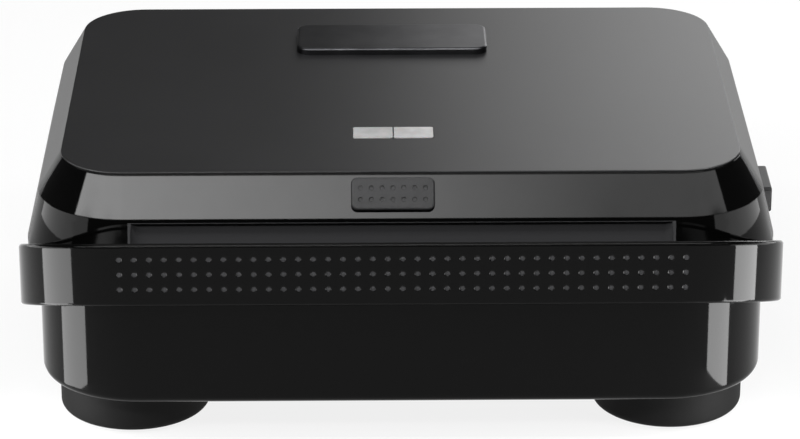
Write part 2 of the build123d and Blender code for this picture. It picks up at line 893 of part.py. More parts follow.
def panel_plan(height, margin=0.0):
    """The flat top panel seen from above."""
    return plan(height, rim_half_width - bevel_inset + margin, panel_front - margin,
                panel_back + margin, rim_corner - bevel_inset + margin)


# Handle band: wraps the front and its corners, and slopes down along the sides
with BuildPart() as handle_band:
    extrude(plan(band_bottom - edge_slope * seam_behind, band_half_width, 0, lid_back, band_corner),
            amount=band_height + edge_slope * seam_behind)
    extrude(plan(0, band_half_width - band_thickness, band_thickness, lid_back,
                 band_corner - band_thickness),
            amount=far, mode=Mode.SUBTRACT)
    extrude(side_profile([(0, band_bottom), (0, band_top),
                          (seam_behind, band_top - edge_slope * seam_behind),
                          (seam_behind, band_bottom - edge_slope * seam_behind)]),
            amount=far, both=True, mode=Mode.INTERSECT)
    front_face = handle_band.faces().sort_by(Axis.Y)[0]
    fillet(front_face.edges().filter_by(Axis.X), band_edge)
    # Grip dots pressed into the front face
    middle_of_front = Vector(0, from_front(0), (band_bottom + band_top) / 2)
    with Locations(Plane(origin=middle_of_front, x_dir=(1, 0, 0), z_dir=(0, -1, 0))):
        with GridLocations(dot_pitch_across, dot_pitch_up, dot_columns, dot_rows):
            Cone(dot_radius, dot_radius / 3, 2 * dot_depth, mode=Mode.SUBTRACT)
finish_piece(handle_band.part, "handle_band")


# Front of the lid above the shoulder, and the pocket that fingers go into
def front_region(below):
    """The lid's front up to the seam, from this far below the shoulder."""
    seam = seam_behind - seam_gap / 2
    return side_profile([(0, shelf_height(0) - below), (0, lid_height),
                         (seam, lid_height), (seam, shelf_height(seam) - below)])


pocket_top = rim_height - pocket_top_gap


def pocket(grow):
    """The finger pocket, or the block that its walls fill."""
    return plan(pocket_floor - grow, pocket_half_width + grow, pocket_front, pocket_back + grow,
                pocket_corner)


with BuildPart() as hollow_through_shoulder:
    add(lid_form(lid_wall + skirt_half_width - fascia_half_width, 2 * panel_thickness))
    extrude(front_region(shelf_drop + 2 * lid_wall), amount=far, both=True, mode=Mode.INTERSECT)

with BuildPart() as front_hollow:
    add(lid_form(lid_wall, 2 * panel_thickness))
    extrude(front_region(0), amount=far, both=True, mode=Mode.INTERSECT)
    add(hollow_through_shoulder.part)
    add(shelf_block(lid_wall))
    extrude(pocket(pocket_wall), amount=pocket_top + 2 * pocket_wall - pocket_floor, mode=Mode.SUBTRACT)

# Plane of the front slope, with its origin in the middle and its y axis up the slope
slope_rise = lid_height - rim_height
slope_length = hypot(bevel_inset, slope_rise)
slope_plane = Plane(
    origin=(0, from_front(rim_front + bevel_inset / 2), rim_height + slope_rise / 2),
    x_dir=(1, 0, 0),
    z_dir=(0, -slope_rise, bevel_inset),
)
wall_along_normal = lid_wall * slope_rise / slope_length
latch_middle = latch_rest_side + latch_travel / 2

with BuildPart() as front_fascia:
    add(lid_form(0, 0))
    extrude(front_region(shelf_drop), amount=far, both=True, mode=Mode.INTERSECT)
    add(shelf_block(0))
    # The band lies over the widest part of the form
    add(handle_band.part, mode=Mode.SUBTRACT)
    extrude(pocket(0), amount=pocket_top - pocket_floor, mode=Mode.SUBTRACT)
    add(front_hollow.part, mode=Mode.SUBTRACT)
    # Seat for the front edge of the top panel
    extrude(panel_plan(panel_under - seam_gap, seam_gap), amount=far, mode=Mode.SUBTRACT)
    # Bosses down to the frame
    for across, behind in lid_boss_places:
        if behind < seam_behind:
            extrude(spot(level(UPPER, frame_back) + boss_gap, across, behind, boss_radius),
                    amount=panel_under - panel_thickness - level(UPPER, frame_back))
            extrude(spot(level(UPPER, frame_back), across, behind, screw_radius + screw_hole_gap),
                    amount=screw_grip, mode=Mode.SUBTRACT)
    # Slot for the stem of the latch
    with BuildSketch(slope_plane):
        with Locations((latch_middle, 0)):
            Rectangle(stem_width + latch_travel + 2 * slider_gap, stem_height + 2 * slider_gap)
    extrude(amount=-(wall_along_normal + slider_gap), mode=Mode.SUBTRACT)
finish_piece(front_fascia.part, "front_fascia")

cover_edge = side_profile([
    (seam_behind + seam_gap / 2, skirt_low),
    (skirt_rise_behind, skirt_low),
    (skirt_rise_end, rear_edge),
    (lid_back, rear_edge),
    (lid_back, lid_height),
    (seam_behind + seam_gap / 2, lid_height),
], corners=skirt_blend)

with BuildPart() as lid_cover:
    add(lid_form(0, 0))
    extrude(cover_edge, amount=far, both=True, mode=Mode.INTERSECT)
    extrude(panel_plan(panel_under), amount=panel_thickness)
    add(lid_form(lid_wall, panel_thickness), mode=Mode.SUBTRACT)
    # Bosses down to the frame, joined to the slope of the side, and posts on the reflector
    for across, behind in lid_boss_places:
        if behind > seam_behind:
            extrude(spot(level(UPPER, frame_back) + boss_gap, across, behind, boss_radius),
                    amount=rim_height + slope_rise / 2 - level(UPPER, frame_back) - boss_gap)
            extrude(spot(level(UPPER, frame_back), across, behind, screw_radius + screw_hole_gap),
                    amount=screw_grip, mode=Mode.SUBTRACT)
    for across, behind in reflector_posts:
        extrude(spot(level(UPPER, reflector_back_face), across, behind, reflector_post_radius),
                amount=panel_under - level(UPPER, reflector_back_face))
    # Window for the lamps
    with BuildSketch(Plane.XY.offset(panel_under)):
        with Locations((lamp_side, from_front(lamp_behind))):
            RectangleRounded(lamp_window_width, lamp_window_depth, lamp_window_corner)
    extrude(amount=far, mode=Mode.SUBTRACT)
    # Openings for the hinge arms, in the back wall
    for across in (-hinge_side, hinge_side):
        extrude(patch(0, across, lid_back, arm_width + 2 * arm_side_gap, window_reach),
                amount=hinge_height + arm_radius + 2 * arm_side_gap, mode=Mode.SUBTRACT)
    # Window for the release button, in the right wall
    with BuildSketch(Plane.YZ.offset(skirt_half_width)):
        with Locations((from_front(upper_button_behind), upper_button_height)):
            RectangleRounded(button_length + 2 * button_clearance,
                             button_height + 2 * button_clearance,
                             button_edge + button_clearance)
    extrude(amount=-window_reach, mode=Mode.SUBTRACT)
finish_piece(lid_cover.part, "lid_cover")


# Hinge: forked brackets on the base, arms on the lid, and a pin through each pair
def hinge_profile(points, across, radius):
    """A side outline that merges straight edges with the round end at the hinge's axis."""
    with BuildSketch(Plane.YZ.offset(across)) as profile:
        with BuildLine():
            Polyline(*[(from_front(behind), height) for behind, height in points], close=True)
        make_face()
        with Locations((from_front(hinge_behind), hinge_height)):
            Circle(radius)
    return profile.sketch


def hinge_bore(radius):
    """A circle on the hinge's axis."""
    with BuildSketch(Plane.YZ) as circle:
        with Locations((from_front(hinge_behind), hinge_height)):
            Circle(radius)
    return circle.sketch


fork_gap = arm_width / 2 + arm_side_gap
with BuildPart() as hinge_brackets:
    for middle in (-hinge_side, hinge_side):
        extrude(patch(bracket_low, middle, base_back + bracket_plate / 2,
                      2 * (fork_gap + ear_thickness + bracket_wing), bracket_plate),
                amount=bracket_top - bracket_low)
        for inner in (middle - fork_gap - ear_thickness, middle + fork_gap):
            ear = hinge_profile([
                (base_back, bracket_low),
                (hinge_behind, bracket_low + ear_radius),
                (hinge_behind + ear_radius, hinge_height),
                (hinge_behind - ear_radius / 2, hinge_height),
                (base_back, base_top),
            ], inner, ear_radius)
            extrude(ear, amount=ear_thickness)
    extrude(hinge_bore(pin_radius), amount=far, both=True, mode=Mode.SUBTRACT)
    with BuildSketch(Plane.XZ.offset(-from_front(base_back))):
        with Locations(*[(across, bracket_screw_height) for across in bracket_screw_places]):
            Circle(screw_radius + screw_hole_gap)
    extrude(amount=-bracket_plate, mode=Mode.SUBTRACT)
finish_piece(hinge_brackets.part, "hinge_brackets")

with BuildPart() as bracket_screws:
    for across in bracket_screw_places:
        with BuildSketch(Plane.XZ.offset(-from_front(base_back + bracket_plate))):
            with Locations((across, bracket_screw_height)):
                Circle(screw_radius)
        extrude(amount=bracket_plate + bracket_screw_grip)
        with BuildSketch(Plane.XZ.offset(-from_front(base_back + bracket_plate))):
            with Locations((across, bracket_screw_height)):
                Circle(screw_head_radius)
        extrude(amount=-screw_head_height)
finish_piece(bracket_screws.part, "bracket_screws")

pin_length = 2 * (fork_gap + ear_thickness)
with BuildPart() as hinge_pins:
    for middle in (-hinge_side, hinge_side):
        start = Plane.YZ.offset(middle - pin_length / 2).shift_origin(
            (middle - pin_length / 2, from_front(hinge_behind), hinge_height))
        with BuildSketch(start):
            Circle(pin_radius)
        extrude(amount=pin_length)
        with BuildSketch(start):
            Circle(pin_head_radius)
        extrude(amount=-pin_head_thickness)
finish_piece(hinge_pins.part, "hinge_pins")

with BuildPart() as hinge_bushes:
    for middle in (-hinge_side, hinge_side):
        start = Plane.YZ.offset(middle - arm_width / 2).shift_origin(
            (middle - arm_width / 2, from_front(hinge_behind), hinge_height))
        with BuildSketch(start):
            Circle(pin_radius + running_clearance + bush_wall)
            Circle(pin_radius + running_clearance, mode=Mode.SUBTRACT)
        extrude(amount=arm_width)
finish_piece(hinge_bushes.part, "hinge_bushes")

arm_low = level(UPPER, frame_back)
arm_front = arm_screw_behind - arm_foot_length / 2
with BuildPart() as hinge_arms:
    for middle in (-hinge_side, hinge_side):
        bar = hinge_profile([
            (arm_front, arm_low),
            (hinge_behind, arm_low),
            (hinge_behind, arm_low + arm_bar_height),
            (arm_front + arm_foot_length, arm_low + arm_bar_height),
            (arm_front, arm_low + arm_foot_thickness),
        ], middle - arm_width / 2, arm_radius)
        extrude(bar, amount=arm_width)
        extrude(patch(arm_low, middle, arm_screw_behind, arm_foot_width, arm_foot_length),
                amount=arm_foot_thickness)
    extrude(hinge_bore(pin_radius + running_clearance + bush_wall), amount=far, both=True,
            mode=Mode.SUBTRACT)
    for across, behind in arm_screw_places:
        extrude(spot(arm_low, across, behind, screw_radius + screw_hole_gap),
                amount=arm_foot_thickness + arm_bar_height, mode=Mode.SUBTRACT)
finish_piece(hinge_arms.part, "hinge_arms")


# Latch: pad, stem, slider and leg in one moulding, with a steel hook on the leg
def slope_layer(depth):
    """The plane of the front slope, moved inwards by a depth."""
    return slope_plane.offset(-depth)


slider_face = wall_along_normal + slider_gap
leg_front = hook_behind - hook_thickness / 2 - leg_thickness
leg_low = level(UPPER, frame_back) + leg_gap_above_frame
with BuildPart() as latch_slider:
    with BuildSketch(slope_layer(-latch_pad_gap)):
        with Locations((latch_rest_side, 0)):
            RectangleRounded(latch_pad_width, latch_pad_height, latch_pad_corner)
    extrude(amount=latch_pad_thickness)
    outer_face = latch_slider.faces().sort_by(Axis((0, 0, 0), tuple(slope_plane.z_dir)))[-1]
    fillet(outer_face.edges(), latch_pad_edge)
    with BuildSketch(slope_layer(-latch_pad_gap - latch_pad_thickness)):
        with Locations((latch_rest_side, 0)):
            with GridLocations(dimple_pitch_across, dimple_pitch_up, dimple_columns, dimple_rows):
                Circle(dimple_radius)
    extrude(amount=-dimple_depth, mode=Mode.SUBTRACT)
    with BuildSketch(slope_layer(-latch_pad_gap)):
        with Locations((latch_rest_side, 0)):
            Rectangle(stem_width, stem_height)
    extrude(amount=-(latch_pad_gap + slider_face))
    with BuildSketch(slope_layer(slider_face)):
        with Locations((latch_rest_side, (slider_high - slider_low) / 2)):
            Rectangle(2 * slider_side, slider_low + slider_high)
    extrude(amount=-slider_thickness)
    slider_end = slope_layer(slider_face + slider_thickness / 2).from_local_coords(
        (0, leg_overlap - slider_low, 0))
    extrude(patch(leg_low, latch_rest_side, leg_front + leg_thickness / 2, stem_width, leg_thickness),
            amount=slider_end.Z - leg_low)
finish_piece(latch_slider.part, "latch_slider")

hook_top_nose = level(LOWER, frame_back) - keeper_thickness - hook_below_keeper
with BuildPart() as latch_hook:
    extrude(patch(hook_top_nose - hook_nose_height, latch_rest_side, hook_behind, stem_width,
                  hook_thickness),
            amount=hook_height)
    extrude(patch(hook_top_nose - hook_nose_height, latch_rest_side + (stem_width + hook_nose) / 2,
                  hook_behind, hook_nose, hook_thickness),
            amount=hook_nose_height)
finish_piece(latch_hook.part, "latch_hook")

keeper_start = hook_low_side + stem_width + hook_nose + slot_margin
with BuildPart() as latch_keeper:
    extrude(patch(level(LOWER, frame_back), keeper_start + keeper_length / 2, hook_behind,
                  keeper_length, keeper_depth),
            amount=-keeper_thickness)
finish_piece(latch_keeper.part, "latch_keeper")

guide_side = latch_travel / 2 + slider_side + guide_end_gap
with BuildPart() as latch_guide:
    with BuildSketch(slope_layer(slider_face + slider_thickness + slider_gap)):
        with Locations((latch_middle, (slider_high - guide_low) / 2)):
            Rectangle(2 * (guide_side + guide_end_width), slider_high + guide_low)
    extrude(amount=-guide_thickness)
    with BuildSketch(slope_layer(wall_along_normal)):
        with Locations((latch_middle, (slider_high - guide_low) / 2)):
            with GridLocations(2 * guide_side + guide_end_width, 1, 2, 1):
                Rectangle(guide_end_width, slider_high + guide_low)
    extrude(amount=-(2 * slider_gap + slider_thickness))
finish_piece(latch_guide.part, "latch_guide")


# Indicator lamps: two lenses in one window, a holder and two bulbs
lens_width = (lamp_window_width - 2 * lens_gap - lens_split) / 2
lens_places = {
    "power_lamp_lens": lamp_side - (lens_width + lens_split) / 2,
    "ready_lamp_lens": lamp_side + (lens_width + lens_split) / 2,
}
lens_under = lid_height + lens_proud - lens_thickness
for name, across in lens_places.items():
    with BuildPart() as lens:
        with BuildSketch(Plane.XY.offset(lens_under)):
            with Locations((across, from_front(lamp_behind))):
                RectangleRounded(lens_width, lamp_window_depth - 2 * lens_gap,
                                 lamp_window_corner - lens_gap)
        extrude(amount=lens_thickness)
    finish_piece(lens.part, name)

holder_top = min(lens_under, panel_under)
with BuildPart() as lamp_holder:
    extrude(patch(holder_top, lamp_side, lamp_behind, lamp_window_width + 2 * holder_wall,
                  lamp_window_depth + 2 * holder_wall),
            amount=-holder_height)
    for across in lens_places.values():
        extrude(patch(holder_top, across, lamp_behind, lens_width - holder_wall, lamp_window_depth),
                amount=holder_wall - holder_height, mode=Mode.SUBTRACT)
finish_piece(lamp_holder.part, "lamp_holder")

with BuildPart() as indicator_bulbs:
    for across in lens_places.values():
        extrude(spot(holder_top - holder_height + holder_wall, across, lamp_behind, bulb_radius),
                amount=bulb_length - bulb_radius)
        with Locations((across, from_front(lamp_behind),
                        holder_top - holder_height + holder_wall + bulb_length - bulb_radius)):
            Sphere(bulb_radius)
finish_piece(indicator_bulbs.part, "indicator_bulbs")


# Blank nameplate on the lid
with BuildPart() as nameplate:
    with BuildSketch(Plane.XY.offset(lid_height)):
        with Locations((nameplate_side, from_front(nameplate_behind))):
            RectangleRounded(nameplate_width, nameplate_depth, nameplate_corner)
    extrude(amount=nameplate_thickness)
    fillet(nameplate.faces().sort_by(Axis.Z)[-1].edges(), nameplate_edge)
finish_piece(nameplate.part, "nameplate")


# Electrical pieces in the base
with BuildPart() as cord_gland:
    for start, length, radius in (
        (base_back - base_wall - gland_flange_thickness, gland_flange_thickness, gland_wall + gland_flange),
        (base_back - base_wall, base_wall, gland_wall),
        (base_back, gland_length, gland_wall + gland_flange / 2),
    ):
        with BuildSketch(Plane.XZ.offset(-from_front(start))):
            with Locations((gland_side, gland_height)):
                Circle(gland_bore_radius + radius)
                Circle(gland_bore_radius, mode=Mode.SUBTRACT)
        extrude(amount=-length)
    # Wider bore from the inside to just past the wall, so that the lead is held outside the wall
    with BuildSketch(Plane.XZ.offset(-from_front(base_back + gland_relief_past_wall))):
        with Locations((gland_side, gland_height)):
            Circle(gland_bore_radius + gland_relief)
    extrude(amount=gland_relief_past_wall + base_wall + gland_flange_thickness, mode=Mode.SUBTRACT)
finish_piece(cord_gland.part, "cord_gland")

terminal_behind = frame_boss_rear - terminal_forward
with BuildPart() as terminal_block:
    extrude(patch(base_floor, terminal_side, terminal_behind, terminal_width, terminal_depth),
            amount=terminal_height)
    with BuildSketch(Plane.XY.offset(base_floor + terminal_height)):
        with Locations((terminal_side, from_front(terminal_behind))):
            with GridLocations(terminal_pitch, 1, terminal_holes, 1):
                Circle(terminal_hole_radius)
    extrude(amount=-terminal_height / 2, mode=Mode.SUBTRACT)
finish_piece(terminal_block.part, "terminal_block")

plate_middle = plate_front + plate_depth / 2
thermostat_top = level(LOWER, pan_back + element_gap)
stem_low = level(LOWER, reflector_back_face) - thermostat_stem_drop
with BuildPart() as thermostat:
    extrude(spot(thermostat_top, 0, plate_middle, thermostat_radius), amount=-thermostat_height)
    extrude(spot(stem_low, 0, plate_middle, thermostat_stem_radius),
            amount=thermostat_top - thermostat_height - stem_low)
finish_piece(thermostat.part, "thermostat")

fuse_height = lower_reflector_under - fuse_radius - element_gap
with BuildPart() as thermal_fuse:
    with BuildSketch(Plane.YZ.offset(fuse_side - fuse_length / 2)):
        with Locations((from_front(plate_middle), fuse_height)):
            Circle(fuse_radius)
    extrude(amount=fuse_length)
finish_piece(thermal_fuse.part, "thermal_fuse")


def leads(routes):
    """Insulated leads, each along straight runs with rounded corners."""
    with BuildPart() as bundle:
        for points in routes:
            run = [(across, from_front(behind), height) for across, behind, height in points]
            with BuildLine() as path:
                if len(run) > 2:
                    FilletPolyline(*run, radius=lead_bend)
                else:
                    Line(*run)
            with BuildSketch(Plane(origin=path.line @ 0, z_dir=path.line % 0)):
                Circle(lead_radius)
            sweep()
    return bundle.part


terminal_top = base_floor + terminal_height
terminal_right = terminal_side + terminal_width / 2
lower_element_height = level(LOWER, element_centre)
element_left_side = -element_end_side - sheath_radius
element_right_side = element_end_side + sheath_radius
lead_low = base_floor + 2 * lead_bend
base_leads = [
    [(terminal_side - terminal_pitch, terminal_behind, terminal_top),
     (terminal_side - terminal_pitch, terminal_behind, lower_element_height),
     (element_left_side, terminal_behind, lower_element_height)],
    [(terminal_right, terminal_behind, lead_low),
     (element_right_side + lead_detour, terminal_behind, lead_low),
     (element_right_side + lead_detour, terminal_behind, lower_element_height),
     (element_right_side, terminal_behind, lower_element_height)],
    [(terminal_side, terminal_behind - terminal_depth / 2, lead_low),
     (terminal_side, plate_middle, lead_low),
     (-thermostat_stem_radius, plate_middle, lead_low)],
    [(thermostat_stem_radius, plate_middle, fuse_height),
     (fuse_side - fuse_length / 2, plate_middle, fuse_height)],
]
finish_piece(leads(base_leads), "base_wiring")

upper_element_height = level(UPPER, element_centre)
end_lead_behind = element_end - lead_spacing
lamp_lead_behind = end_lead_behind - lead_spacing
lamp_lead_height = holder_top - holder_height / 2
lamp_lead_side = element_right_side + lead_detour
end_lead_side = hinge_side - arm_foot_width / 2 - 2 * lead_bend
lid_leads = [
    [(element_left_side, end_lead_behind, upper_element_height),
     (-end_lead_side, end_lead_behind, upper_element_height),
     (-end_lead_side, end_lead_behind, arm_low)],
    [(element_right_side, end_lead_behind, upper_element_height),
     (end_lead_side, end_lead_behind, upper_element_height),
     (end_lead_side, end_lead_behind, arm_low)],
    [(lamp_side, lamp_behind + lamp_window_depth / 2 + holder_wall, lamp_lead_height),
     (lamp_side, lamp_lead_behind, lamp_lead_height),
     (lamp_lead_side, lamp_lead_behind, lamp_lead_height),
     (lamp_lead_side, lamp_lead_behind, upper_element_height),
     (element_right_side, lamp_lead_behind, upper_element_height)],
]
finish_piece(leads(lid_leads), "lid_wiring")
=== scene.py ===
import json
from math import cos, pi, radians, sin

import bmesh
import bpy
from mathutils import Matrix, Vector


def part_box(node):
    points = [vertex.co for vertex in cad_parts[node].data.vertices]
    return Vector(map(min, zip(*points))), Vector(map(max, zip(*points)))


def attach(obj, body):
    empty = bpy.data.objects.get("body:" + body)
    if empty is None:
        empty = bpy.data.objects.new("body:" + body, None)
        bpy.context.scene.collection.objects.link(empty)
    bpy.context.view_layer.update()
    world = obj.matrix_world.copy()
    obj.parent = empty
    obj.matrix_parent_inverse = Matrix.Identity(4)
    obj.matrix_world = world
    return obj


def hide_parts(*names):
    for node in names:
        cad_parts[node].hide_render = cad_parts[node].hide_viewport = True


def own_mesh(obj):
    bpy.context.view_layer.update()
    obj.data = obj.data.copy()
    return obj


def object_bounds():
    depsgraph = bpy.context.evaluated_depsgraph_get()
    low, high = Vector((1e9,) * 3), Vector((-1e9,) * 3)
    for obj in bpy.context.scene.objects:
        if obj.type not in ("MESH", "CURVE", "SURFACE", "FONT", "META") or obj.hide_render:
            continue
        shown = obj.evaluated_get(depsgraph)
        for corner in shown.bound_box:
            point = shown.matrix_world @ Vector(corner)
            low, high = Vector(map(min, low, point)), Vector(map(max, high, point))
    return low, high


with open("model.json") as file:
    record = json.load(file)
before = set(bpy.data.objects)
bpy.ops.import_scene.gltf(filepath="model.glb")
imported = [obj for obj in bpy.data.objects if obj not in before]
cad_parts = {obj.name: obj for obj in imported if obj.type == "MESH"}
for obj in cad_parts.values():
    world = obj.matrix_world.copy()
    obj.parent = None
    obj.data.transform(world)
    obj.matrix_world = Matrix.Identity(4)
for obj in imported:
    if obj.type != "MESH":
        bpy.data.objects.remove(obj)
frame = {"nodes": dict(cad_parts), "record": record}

MM = 0.001
cad_low, cad_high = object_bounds()
half_depth = (cad_high.y - cad_low.y) / 2
scene = bpy.context.scene


def behind(distance):
    """Y of a point this many metres behind the front face of the handle band."""
    return distance - half_depth


# Camera: the viewing angle, distance and focal length that the photograph was taken from
image_width = 800
focal_length_in_pixels = 3686.8
sensor_width = 36.0
camera_distance = 1.258
camera_elevation = radians(22.6)
camera_heading = radians(0.7)
looked_at = Vector((-0.0005, behind(0.035), 0.072))

forward = Vector((sin(camera_heading) * cos(camera_elevation),
                  cos(camera_heading) * cos(camera_elevation),
                  -sin(camera_elevation)))
camera = bpy.data.objects.new("camera", bpy.data.cameras.new("camera"))
camera.data.sensor_width = sensor_width
camera.data.lens = sensor_width * focal_length_in_pixels / image_width
camera.location = looked_at - camera_distance * forward
camera.rotation_euler = forward.to_track_quat("-Z", "Y").to_euler()
scene.collection.objects.link(camera)
scene.camera = camera


# Helpers for materials
def linear(hex_colour):
    """An sRGB hex colour as linear red, green, blue and alpha."""
    channels = [int(hex_colour[i:i + 2], 16) / 255 for i in (1, 3, 5)]
    return tuple(c / 12.92 if c <= 0.04045 else ((c + 0.055) / 1.055) ** 2.4 for c in channels) + (1.0,)


def add_node(tree, kind, inputs=None, **settings):
    """Adds a node. An input is a value, or an output of another node to link it to."""
    made = tree.nodes.new(kind)
    for name, value in settings.items():
        setattr(made, name, value)
    for name, value in (inputs or {}).items():
        if isinstance(value, bpy.types.NodeSocket):
            tree.links.new(value, made.inputs[name])
        else:
            made.inputs[name].default_value = value
    return made


def new_surface(name, **values):
    """A material with its shader, whose constants are set on the shader's own sockets."""
    material = bpy.data.materials.new(name)
    material.use_nodes = True
    tree = material.node_tree
    shader = tree.nodes["Principled BSDF"]
    for socket, value in values.items():
        shader.inputs[socket.replace("_", " ")].default_value = value
    return material, tree, shader


def surface_point(tree, stretch=(1.0, 1.0, 1.0)):
    """Coordinates on the piece in metres, stretched along its axes."""
    coordinates = add_node(tree, "ShaderNodeTexCoord")
    return add_node(tree, "ShaderNodeMapping",
                    {"Vector": coordinates.outputs["Object"], "Scale": stretch}).outputs["Vector"]


def grain(tree, size, stretch=(1.0, 1.0, 1.0), detail=2.0):
    """Noise whose features are about this size in metres."""
    return add_node(tree, "ShaderNodeTexNoise",
                    {"Vector": surface_point(tree, stretch), "Scale": 1 / size, "Detail": detail})


def vary(tree, shader, socket, factor, low, high):
    """Varies a number of the shader between two values."""
    spread = add_node(tree, "ShaderNodeMapRange", {"Value": factor, "To Min": low, "To Max": high})
    tree.links.new(spread.outputs["Result"], shader.inputs[socket])


# Noise lies mostly between these two values, so the colours change between them
noise_low = 0.35
noise_high = 0.65


def tint(tree, shader, factor, dark, light):
    """Varies the colour between two hex values."""
    ramp = add_node(tree, "ShaderNodeValToRGB", {"Fac": factor})
    ramp.color_ramp.elements[0].color = linear(dark)
    ramp.color_ramp.elements[1].color = linear(light)
    ramp.color_ramp.elements[0].position = noise_low
    ramp.color_ramp.elements[1].position = noise_high
    tree.links.new(ramp.outputs["Color"], shader.inputs["Base Color"])


def relief(tree, shader, height, depth, rounding=0.0):
    """Bump of this depth in metres, on edges that are softened by a radius."""
    inputs = {"Height": height, "Distance": depth, "Strength": 1.0}
    if rounding:
        softened = add_node(tree, "ShaderNodeBevel", {"Radius": rounding}, samples=4)
        inputs["Normal"] = softened.outputs["Normal"]
    bump = add_node(tree, "ShaderNodeBump", inputs)
    tree.links.new(bump.outputs["Normal"], shader.inputs["Normal"])


def within(tree, low, high):
    """One inside a box on the piece, given in metres, and nought outside it."""
    place = add_node(tree, "ShaderNodeSeparateXYZ", {"Vector": surface_point(tree)}).outputs
    inside = None
    for axis, start, end in zip("XYZ", low, high):
        for operation, limit in (("GREATER_THAN", start), ("LESS_THAN", end)):
            test = add_node(tree, "ShaderNodeMath", {0: place[axis], 1: limit}, operation=operation)
            if inside is not None:
                test = add_node(tree, "ShaderNodeMath", {0: inside, 1: test.outputs[0]}, operation="MULTIPLY")
            inside = test.outputs[0]
    return inside


# Materials, each named for the real one
def satin_abs():
    """ABS moulded in a spark-eroded tool: an even, soft sheen with no mirror image."""
    material, tree, shader = new_surface("satin_abs", IOR=1.5)
    fine = grain(tree, 0.35 * MM)
    broad = grain(tree, 40 * MM)
    tint(tree, shader, broad.outputs["Fac"], "#161617", "#19191A")
    vary(tree, shader, "Roughness", fine.outputs["Fac"], 0.33, 0.41)
    relief(tree, shader, fine.outputs["Fac"], 0.006 * MM, 0.5 * MM)
    return material


# The parts of the gloss mouldings that the tool leaves satin: the finger pocket and the grip dots. There the
# colour is also painted lighter grey, as painted light in the pocket and painted glints on the dots.
# Each has the corners of its box and how satin and how lightly painted it is, which the tint reads between
# its two noise values.
pocket_low = (-0.0925, behind(4.3 * MM), 0.0560)
pocket_high = (0.0925, behind(23.0 * MM), 0.0770)
pocket_satin_and_painted_light = 0.47
dots_low = (-0.0955, behind(0.13 * MM), 0.0600)
dots_high = (0.0955, behind(0.80 * MM), 0.0740)
dots_satin_and_painted_glints = 0.54
satin_roughness = 0.3


def gloss_abs():
    """ABS moulded in a polished tool, black and mirror-like, but satin in the pocket and the dots. Its colour
    is painted lighter grey there, as painted light and painted glints.
    """
    # The IOR is below the real 1.5, so that the fronts stay nearly black over a white floor
    material, tree, shader = new_surface("gloss_abs", IOR=1.2)
    wave = grain(tree, 30 * MM, detail=0.0)
    haze = grain(tree, 6 * MM)
    dots = add_node(tree, "ShaderNodeMath", {0: within(tree, dots_low, dots_high), 1: dots_satin_and_painted_glints},
                    operation="MULTIPLY").outputs[0]
    satin_and_painted_light = add_node(tree, "ShaderNodeMath",
                     {0: within(tree, pocket_low, pocket_high), 1: pocket_satin_and_painted_light, 2: dots},
                     operation="MULTIPLY_ADD").outputs[0]
    # Painted light: the colour goes lighter grey in the pocket for the light that falls into it, and on the
    # dots for their glints
    tint(tree, shader, satin_and_painted_light, "#040404", "#606062")
    polish = add_node(tree, "ShaderNodeMapRange",
                      {"Value": haze.outputs["Fac"], "To Min": 0.04, "To Max": 0.08}).outputs["Result"]
    roughness = add_node(tree, "ShaderNodeMath", {0: satin_and_painted_light, 1: satin_roughness, 2: polish},
                         operation="MULTIPLY_ADD").outputs[0]
    tree.links.new(roughness, shader.inputs["Roughness"])
    relief(tree, shader, wave.outputs["Fac"], 0.02 * MM, 0.5 * MM)
    return material


def grained_plastic(name, dark, light, grain_size, depth, roughness, ior=1.5):
    """ABS, nylon or polycarbonate with a leather-like moulded grain, which scatters light."""
    material, tree, shader = new_surface(name, IOR=ior)
    fine = grain(tree, grain_size)
    tint(tree, shader, fine.outputs["Fac"], dark, light)
    vary(tree, shader, "Roughness", fine.outputs["Fac"], roughness - 0.06, roughness + 0.06)
    relief(tree, shader, fine.outputs["Fac"], depth, 0.3 * MM)
    return material


def nitrile_rubber():
    """Moulded rubber: nearly black and matt, with a light bloom of dust."""
    material, tree, shader = new_surface("nitrile_rubber", Roughness=0.8, IOR=1.5)
    bloom = grain(tree, 3 * MM)
    tint(tree, shader, bloom.outputs["Fac"], "#1A1A1A", "#242424")
    relief(tree, shader, grain(tree, 0.6 * MM).outputs["Fac"], 0.02 * MM)
    return material


def fluoropolymer_coating():
    """Sprayed and baked non-stick on cast aluminium: dark grey with fine pale flecks."""
    material, tree, shader = new_surface("fluoropolymer_coating", Roughness=0.42, IOR=1.38)
    flecks = add_node(tree, "ShaderNodeTexVoronoi",
                      {"Vector": surface_point(tree), "Scale": 1 / (1.1 * MM)})
    spots = add_node(tree, "ShaderNodeMapRange",
                     {"Value": flecks.outputs["Distance"], "From Min": 0.12, "From Max": 0.2,
                      "To Min": 1.0, "To Max": 0.0})
    tint(tree, shader, spots.outputs["Result"], "#2B2B2D", "#6B6B6E")
    relief(tree, shader, grain(tree, 0.5 * MM).outputs["Fac"], 0.02 * MM, 0.3 * MM)
    return material


def bare_metal(name, dark, light, roughness, stretch, depth):
    """Drawn, rolled or brushed metal: its fine lines run along the stretched axis."""
    material, tree, shader = new_surface(name, Metallic=1.0)
    lines = grain(tree, 0.25 * MM, stretch)
    tint(tree, shader, grain(tree, 12 * MM).outputs["Fac"], dark, light)
    vary(tree, shader, "Roughness", lines.outputs["Fac"], roughness - 0.07, roughness + 0.07)
    relief(tree, shader, lines.outputs["Fac"], depth, 0.2 * MM)
    return material


def frosted_acrylic():
    """Acrylic with a frosted back: pale grey when the lamp is off, with a polished face."""
    material, tree, shader = new_surface("frosted_acrylic", Roughness=0.28, IOR=1.49,
                                         Subsurface_Weight=0.15, Subsurface_Scale=0.8 * MM,
                                         Coat_Weight=0.5, Coat_Roughness=0.08)
    cloud = grain(tree, 5 * MM)
    tint(tree, shader, cloud.outputs["Fac"], "#9E9E9E", "#AEAEAE")
    relief(tree, shader, grain(tree, 0.9 * MM, (1.0, 0.1, 1.0)).outputs["Fac"], 0.01 * MM, 0.3 * MM)
    return material


